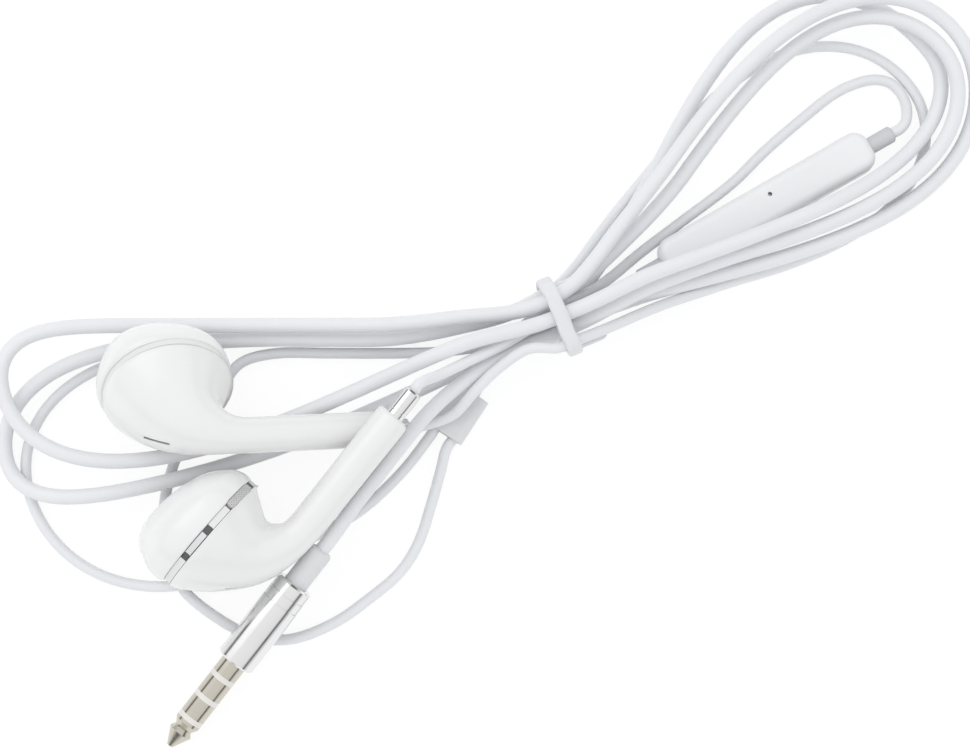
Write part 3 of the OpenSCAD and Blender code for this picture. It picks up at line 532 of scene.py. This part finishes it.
def skin(rings, closed):
    """Quads between the rings: closed on itself, or with a fan at each end."""
    n, m = len(rings[0]), len(rings)
    verts = [p for r in rings for p in r]
    faces = [
        (i * n + k, (i + 1) % m * n + k, (i + 1) % m * n + (k + 1) % n, i * n + (k + 1) % n)
        for i in range(m if closed else m - 1) for k in range(n)
    ]
    if not closed:
        faces += [tuple(range(n)), tuple((m - 1) * n + k for k in reversed(range(n)))]
    return verts, faces


def cord_object(name, line, r):
    """A smooth cord as a curve with a round section."""
    data = bpy.data.curves.new(name, "CURVE")
    data.dimensions = "3D"
    data.bevel_depth = r * MM
    data.bevel_resolution = 6
    data.use_fill_caps = True
    data.resolution_u = 1
    s = data.splines.new("POLY")
    points = [row(p) for p in line]
    s.points.add(len(points) - 1)
    for p, q in zip(s.points, points):
        p.co = (*q, 1)
    s.use_smooth = True
    data.materials.append(MAT["cord_white"])
    obj = bpy.data.objects.new(name, data)
    scene.collection.objects.link(obj)
    return obj


# ---- cords ----

SPLITTER_PIECES = ["splitter_body", "splitter_neck"]
REMOTE_PIECES = [
    "remote_top_shell", "remote_bottom_shell", "remote_board", "remote_domes",
    "remote_microphone", "remote_relief_near", "remote_relief_far",
]
PLUG_PIECES = [
    "plug_relief", "plug_barrel", "plug_collar", "plug_core", "plug_sleeve", "plug_ring_2",
    "plug_ring_1", "plug_tip", "plug_bands",
]

for name, line, r, nodes, far_end, lay, carried in (
    ("main_cord", main_line(), MAIN_R, ("main_cord_hank", "plug_lead", "splitter_lead"),
     "plug", "coiled", PLUG_PIECES),
    ("left_ear_cord", left_ear_line(), EAR_R, ("ear_cord_loops", "left_lead"),
     "fitting", "coiled", SPLITTER_PIECES),
    ("right_ear_cord", right_ear_line(), EAR_R, ("right_lead",), "fitting", "loose", REMOTE_PIECES),
    ("far_ear_cord", far_line(), EAR_R, ("far_cord",), "fitting", "loose", SPLITTER_PIECES),
):
    obj = cord_object(name, line, r)
    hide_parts(*nodes)
    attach(obj, BODY)


# ---- earbud shells ----

ROUND = 96
ROW_STEPS = 8
RIM = 0.16


def on_ring(x, y, z):
    """Points round a ring from functions of the angle."""
    turns = [2 * math.pi * k / ROUND for k in range(ROUND)]
    return [Vector((x(a), y(a), z(a))) for a in turns]


def rear_ring(values, wall, lift=0.0):
    t = math.radians(values[0])
    r = STEM_R + (HEAD_R - STEM_R) * values[3] - wall
    w = STEM_R + (HEAD_ACROSS - STEM_R) * values[4] - wall
    return on_ring(
        lambda a: STEM_START * values[2] + r * math.cos(a) * math.cos(t),
        lambda a: w * math.sin(a),
        lambda a: STEM_BACK * values[1] - r * math.cos(a) * math.sin(t) + lift,
    )


def stem_ring(v, r):
    return on_ring(
        lambda a: v, lambda a: r * math.sin(a), lambda a: stem_axis(v) - r * math.cos(a)
    )


def bent(v, e):
    return math.copysign(abs(v) ** (2 / e), v)


def front_ring(values, wall, lift=0.0):
    mid = HEAD_R * (values[1] + values[2]) / 2
    half = max(0.03, HEAD_R * (values[2] - values[1]) / 2 - wall)
    w = max(0.03, HEAD_R * values[3] - wall)
    deep = HEAD_R * values[0] * (1 - wall / (HEAD_R * FRONT_DEEP))
    return on_ring(
        lambda a: mid + half * bent(math.cos(a), values[4]),
        lambda a: w * bent(math.sin(a), values[4]),
        lambda a: -deep + lift,
    )


def quarter(n):
    """Sine and cosine of n steps through a quarter turn."""
    return [(math.sin(math.pi / 2 * i / n), math.cos(math.pi / 2 * i / n)) for i in range(n + 1)]


def rear_skin():
    rows = smooth_rows(REAR_ROWS, ROW_STEPS)
    rim = [rear_ring(rows[0], RIM * (1 - s), RIM * (1 - c)) for s, c in quarter(4)]
    bore = FERRULE_R + FERRULE_ROOM
    seat = STEM_END - FERRULE_DEEP
    outside = [rear_ring(r, 0) for r in rows[2:]]
    stem = [stem_ring(v, STEM_R) for v in (12, 15, 18, 21, 24)]
    end = [
        stem_ring(STEM_END - STEM_EDGE * (1 - s), STEM_R - STEM_EDGE * (1 - c))
        for s, c in quarter(8)
    ]
    back = [
        stem_ring(STEM_END, bore), stem_ring(seat, bore),
        stem_ring(seat - 0.2, STEM_R - REAR_WALL),
    ]
    inside = [rear_ring(r, REAR_WALL) for r in reversed(rows)]
    return skin(rim + outside + stem + end + back + inside, True)


def front_skin():
    rows = smooth_rows(FRONT_ROWS, ROW_STEPS)
    outside = [front_ring(r, 0) for r in reversed(rows[2:])]
    rim = [front_ring(rows[0], RIM * (1 - c), -RIM * (1 - s)) for s, c in quarter(4)]
    inner_rim = [Vector((p.x, p.y, -SEAM_FRONT)) for p in front_ring(rows[0], FRONT_WALL)]
    inside = [front_ring(r, FRONT_WALL) for r in rows[1:]]
    return skin(outside + rim + [inner_rim] + inside, False)


def oblong(r, half, steps=12):
    """The outline of a slot with round ends, long along y."""
    arc = [math.pi * i / steps for i in range(steps + 1)]
    top = [(r * math.cos(a), half + r * math.sin(a)) for a in arc]
    return top + [(-x, -y) for x, y in top]


def prism(outline, low, high):
    rings = [[Vector((x, y, z)) for x, y in outline] for z in (low, high)]
    return skin(rings, False)


def placed(part, matrix):
    verts, faces = part
    return [matrix @ Vector(v) for v in verts], faces


def bud_matrix(at, angles, side):
    place = Matrix.Scale(MM, 4) @ Matrix.Translation(Vector(at) - ORIGIN)
    return place @ turn(angles) @ Matrix.Diagonal((1, side, 1, 1))


def shift(x, y, z):
    return Matrix.Translation((x, y, z))


def spin(deg, axis):
    return Matrix.Rotation(math.radians(deg), 4, axis)


def cut(obj, cutter):
    """Takes the cutter's shape out of the mesh, and removes the cutter."""
    mod = obj.modifiers.new("cut", "BOOLEAN")
    mod.operation = "DIFFERENCE"
    mod.solver = "MANIFOLD"
    mod.object = cutter
    bpy.context.view_layer.update()
    made = bpy.data.meshes.new_from_object(obj.evaluated_get(bpy.context.evaluated_depsgraph_get()))
    obj.modifiers.clear()
    old = obj.data
    obj.data = made
    bpy.data.meshes.remove(old)
    bpy.data.objects.remove(cutter)


def finish_mesh(obj, sharp):
    obj.data.polygons.foreach_set("use_smooth", [True] * len(obj.data.polygons))
    obj.data.set_sharp_from_angle(angle=math.radians(sharp))


def on_seam(angle, r):
    """A place in the middle of the seam, its z axis pointing out of the head."""
    return spin(angle, "Z") @ shift(r, 0, SEAM_MIDDLE) @ spin(90, "Y")


MESH_PLACE = on_seam(MESH_ANGLE, HEAD_R - 0.4)
VENT_PLACE = shift(*VENT_AT) @ spin(VENT_TURN, "Y") @ spin(VENT_ROLL, "Z")
OUTLET_PLACE = shift(*OUTLET_AT) @ spin(OUTLET_TURN, "Y")


def shells(name, matrix):
    recess = placed(prism(oblong(MESH_R, MESH_HALF), -0.6, 0.6), MESH_PLACE)
    slot_outline = oblong(VENT_HIGH / 2, VENT_LONG / 2 - VENT_HIGH / 2)
    vent = placed(prism([(y, -x) for x, y in slot_outline], -1.5, 1.5), VENT_PLACE)
    outlet = placed(prism(oblong(OUTLET_R, OUTLET_HALF), -2, 2), OUTLET_PLACE)
    for end, part, cutters in (
        ("rear_shell", rear_skin(), (vent, recess)),
        ("front_shell", front_skin(), (outlet, recess)),
    ):
        obj = to_object(name + end + "_skin", *placed(part, matrix), "shell_white")
        for c in cutters:
            cut(obj, to_object("cutter", *placed(c, matrix), "shell_white"))
        finish_mesh(obj, 32)
        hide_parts(name + end)
        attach(obj, BODY)


def notch_shade_pads(name, matrix):
    """Dark pads in the notches of the seam ring: painted shade that stands in for the shade in the
    notches.
    """
    x, y = PAD_WIDE / 2, PAD_LONG / 2
    pad = prism([(-x, -y), (x, -y), (x, y), (-x, y)], PAD_LOW, PAD_HIGH)
    verts, faces = [], []
    for angle in NOTCH_ANGLES:
        some, more = placed(pad, matrix @ on_seam(angle, HEAD_R - 0.45))
        faces += [tuple(i + len(verts) for i in f) for f in more]
        verts += some
    obj = to_object(name + "notch_shade_pads", verts, faces, "notch_painted_shade")
    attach(obj, BODY)


for name, matrix in (
    ("left_", bud_matrix(LEFT_AT, LEFT_TURN, -1)), ("right_", bud_matrix(RIGHT_AT, RIGHT_TURN, 1)),
):
    shells(name, matrix)
    notch_shade_pads(name, matrix)


# ---- tie ----

def drawn_round(points, r, steps=10):
    """The outline drawn tight round circles of radius r, anticlockwise."""
    n = len(points)
    out = []
    for i, p in enumerate(points):
        a, b = points[i - 1], points[(i + 1) % n]
        start = math.atan2(p[1] - a[1], p[0] - a[0]) - math.pi / 2
        end = math.atan2(b[1] - p[1], b[0] - p[0]) - math.pi / 2
        bend = (end - start) % (2 * math.pi)
        k = max(1, round(bend / (2 * math.pi) * 4 * steps))
        out += [
            (p[0] + r * math.cos(start + bend * j / k), p[1] + r * math.sin(start + bend * j / k))
            for j in range(k + 1)
        ]
    return out


def evenly(loop, n):
    """n points spaced evenly along a closed outline."""
    pts = [Vector(p) for p in loop] + [Vector(loop[0])]
    ends = [0]
    for a, b in zip(pts, pts[1:]):
        ends.append(ends[-1] + (b - a).length)
    out, k = [], 0
    for i in range(n):
        s = ends[-1] * i / n
        while ends[k + 1] < s:
            k += 1
        f = (s - ends[k]) / max(1e-9, ends[k + 1] - ends[k])
        out.append(pts[k].lerp(pts[k + 1], f))
    return out


def soft_section(w, h, r, steps=4):
    """A rectangle with round corners, as (across, out) pairs."""
    out = []
    for cx, cy, from_deg in (
        (w / 2 - r, h / 2 - r, 0), (r - w / 2, h / 2 - r, 90),
        (r - w / 2, r - h / 2, 180), (w / 2 - r, r - h / 2, 270),
    ):
        for i in range(steps + 1):
            a = math.radians(from_deg + 90 * i / steps)
            out.append((cx + r * math.cos(a), cy + r * math.sin(a)))
    return out


TIE_PLACE = Matrix.Scale(MM, 4) @ Matrix.Translation(WAIST.to_3d() - ORIGIN) @ spin(WAIST_ANGLE, "Z")
tie_path = [(SLOTS[s][0] + dx, SLOTS[s][1] + dz) for s, dx, dz in TIE_ROUND]
tie_bottom = SLOTS[0][1] - 0.25 - TIE_IN - TIE_THICK


def tie_band():
    mid = evenly(drawn_round(tie_path, TIE_IN + TIE_THICK / 2), TIE_POINTS)
    section = soft_section(TIE_WIDE, TIE_THICK, TIE_EDGE)
    rings = []
    for i, p in enumerate(mid):
        along = (mid[(i + 1) % len(mid)] - mid[i - 1]).normalized()
        out = Vector((along.y, -along.x))
        sway = 0.05 * math.sin(i * 0.19) + 0.03 * math.sin(i * 0.47 + 1)
        rings.append([
            Vector((x + sway, p.x + out.x * y, p.y + out.y * y)) for x, y in section
        ])
    return skin(rings, True)


def tie_tail():
    """The foot under the hank and the free end, as one strip with soft edges."""
    r = TIE_WIDE * TAIL_SHARE
    path = [
        (0, SLOTS[0][0]), (0, 0.5), (0, TAIL_ACROSS + 1.3), (0.12, TAIL_ACROSS + 0.72),
        (0.42, TAIL_ACROSS + 0.28), (0.95, TAIL_ACROSS), (2, TAIL_ACROSS), (TAIL_X, TAIL_ACROSS),
    ]
    line = spline([(x, y, 0) for x, y in path], 5)
    rings = []
    for i, p in enumerate(line):
        along = (line[min(i + 1, len(line) - 1)] - line[max(i - 1, 0)]).normalized()
        side = Vector((-along.y, along.x, 0))
        rings.append([
            p + side * x + Vector((0, 0, tie_bottom + TIE_THICK / 2 + y))
            for x, y in soft_section(2 * r, TIE_THICK, TAIL_EDGE)
        ])
    last, along = line[-1], Vector((1, 0, 0))
    for s, c in quarter(8)[1:]:
        rings.append([
            last + along * (r * s) * 0.98 + Vector((0, x * max(c, 0.02), 0))
            + Vector((0, 0, tie_bottom + TIE_THICK / 2 + y * (0.35 + 0.65 * c)))
            for x, y in soft_section(2 * r, TIE_THICK, TAIL_EDGE)
        ])
    return skin(rings, False)


for name, part in (("tie_band", tie_band()), ("tie_tail", tie_tail())):
    obj = to_object(name, *placed(part, TIE_PLACE), "tie_white", 50)
    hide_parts("tie_coat")
    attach(obj, BODY)


# ---- the other pieces keep their CAD shape ----

for part in frame["record"]["subparts"]:
    node = frame["nodes"][part["node"]]
    node.data.materials.clear()
    slot = "side_mesh_grey" if part["node"].endswith("side_mesh") else part["material_slot"]
    node.data.materials.append(MAT[slot])


# ---- floor, light and background ----

def background_rays(nt):
    """1 for rays that see the background: from the camera, off gloss or through glass."""
    path = nt.nodes.new("ShaderNodeLightPath")
    total = path.outputs["Is Camera Ray"]
    for other in ("Is Glossy Ray", "Is Transmission Ray"):
        m = nt.nodes.new("ShaderNodeMath")
        m.operation = "MAXIMUM"
        nt.links.new(total, m.inputs[0])
        nt.links.new(path.outputs[other], m.inputs[1])
        total = m.outputs["Value"]
    return total


def make_floor():
    data = bpy.data.meshes.new("floor")
    s = FLOOR_HALF
    data.from_pydata([(-s, -s, 0), (s, -s, 0), (s, s, 0), (-s, s, 0)], [], [(0, 1, 2, 3)])
    floor = bpy.data.objects.new("floor", data)
    scene.collection.objects.link(floor)
    m = bpy.data.materials.new("floor_white")
    m.use_nodes = True
    nt = m.node_tree
    nt.nodes.clear()
    plain = nt.nodes.new("ShaderNodeBsdfDiffuse")
    plain.inputs["Color"].default_value = (*(FLOOR_WHITE,) * 3, 1)
    seen = nt.nodes.new("ShaderNodeBsdfDiffuse")
    seen.inputs["Color"].default_value = (*(FLOOR_SHADE,) * 3, 1)
    glow = nt.nodes.new("ShaderNodeEmission")
    glow.inputs["Strength"].default_value = 1 - FLOOR_SHADE + FLOOR_LIFT
    both = nt.nodes.new("ShaderNodeAddShader")
    mix = nt.nodes.new("ShaderNodeMixShader")
    out = nt.nodes.new("ShaderNodeOutputMaterial")
    nt.links.new(seen.outputs["BSDF"], both.inputs[0])
    nt.links.new(glow.outputs["Emission"], both.inputs[1])
    nt.links.new(background_rays(nt), mix.inputs["Fac"])
    nt.links.new(plain.outputs["BSDF"], mix.inputs[1])
    nt.links.new(both.outputs["Shader"], mix.inputs[2])
    nt.links.new(mix.outputs["Shader"], out.inputs["Surface"])
    data.materials.append(m)


def make_world():
    world = bpy.data.worlds.new("world")
    scene.world = world
    world.use_nodes = True
    nt = world.node_tree
    nt.nodes.clear()
    coord = nt.nodes.new("ShaderNodeTexCoord")
    split = nt.nodes.new("ShaderNodeSeparateXYZ")
    ramp = nt.nodes.new("ShaderNodeValToRGB")
    marks = ramp.color_ramp
    for _ in range(len(WORLD_RAMP) - 2):
        marks.elements.new(0.5)
    for e, (at, v) in zip(marks.elements, WORLD_RAMP):
        e.position = at
        e.color = (v, v, v, 1)
    nt.links.new(coord.outputs["Generated"], split.inputs["Vector"])
    nt.links.new(split.outputs["Z"], ramp.inputs["Fac"])
    room = nt.nodes.new("ShaderNodeBackground")
    nt.links.new(ramp.outputs["Color"], room.inputs["Color"])
    room.inputs["Strength"].default_value = 1.0
    fill = nt.nodes.new("ShaderNodeBackground")
    fill.inputs["Color"].default_value = (*WORLD_FILL_COLOUR, 1)
    fill.inputs["Strength"].default_value = WORLD_FILL
    white = nt.nodes.new("ShaderNodeBackground")
    white.inputs["Color"].default_value = (1, 1, 1, 1)
    path = nt.nodes.new("ShaderNodeLightPath")
    gloss = nt.nodes.new("ShaderNodeMixShader")
    seen = nt.nodes.new("ShaderNodeMixShader")
    out = nt.nodes.new("ShaderNodeOutputWorld")
    nt.links.new(path.outputs["Is Glossy Ray"], gloss.inputs["Fac"])
    nt.links.new(fill.outputs["Background"], gloss.inputs[1])
    nt.links.new(room.outputs["Background"], gloss.inputs[2])
    nt.links.new(path.outputs["Is Camera Ray"], seen.inputs["Fac"])
    nt.links.new(gloss.outputs["Shader"], seen.inputs[1])
    nt.links.new(white.outputs["Background"], seen.inputs[2])
    nt.links.new(seen.outputs["Shader"], out.inputs["Surface"])


def make_lamp(name, at, size, power):
    data = bpy.data.lights.new(name, "AREA")
    data.shape = "SQUARE"
    data.size = size
    data.energy = power
    lamp = bpy.data.objects.new(name, data)
    scene.collection.objects.link(lamp)
    lamp.location = aim + Vector(at)
    lamp.rotation_euler = (-Vector(at)).to_track_quat("-Z", "Y").to_euler()


make_floor()
make_world()
make_lamp("key", KEY_AT, KEY_SIZE, KEY_POWER)

scene.view_settings.view_transform = "Standard"
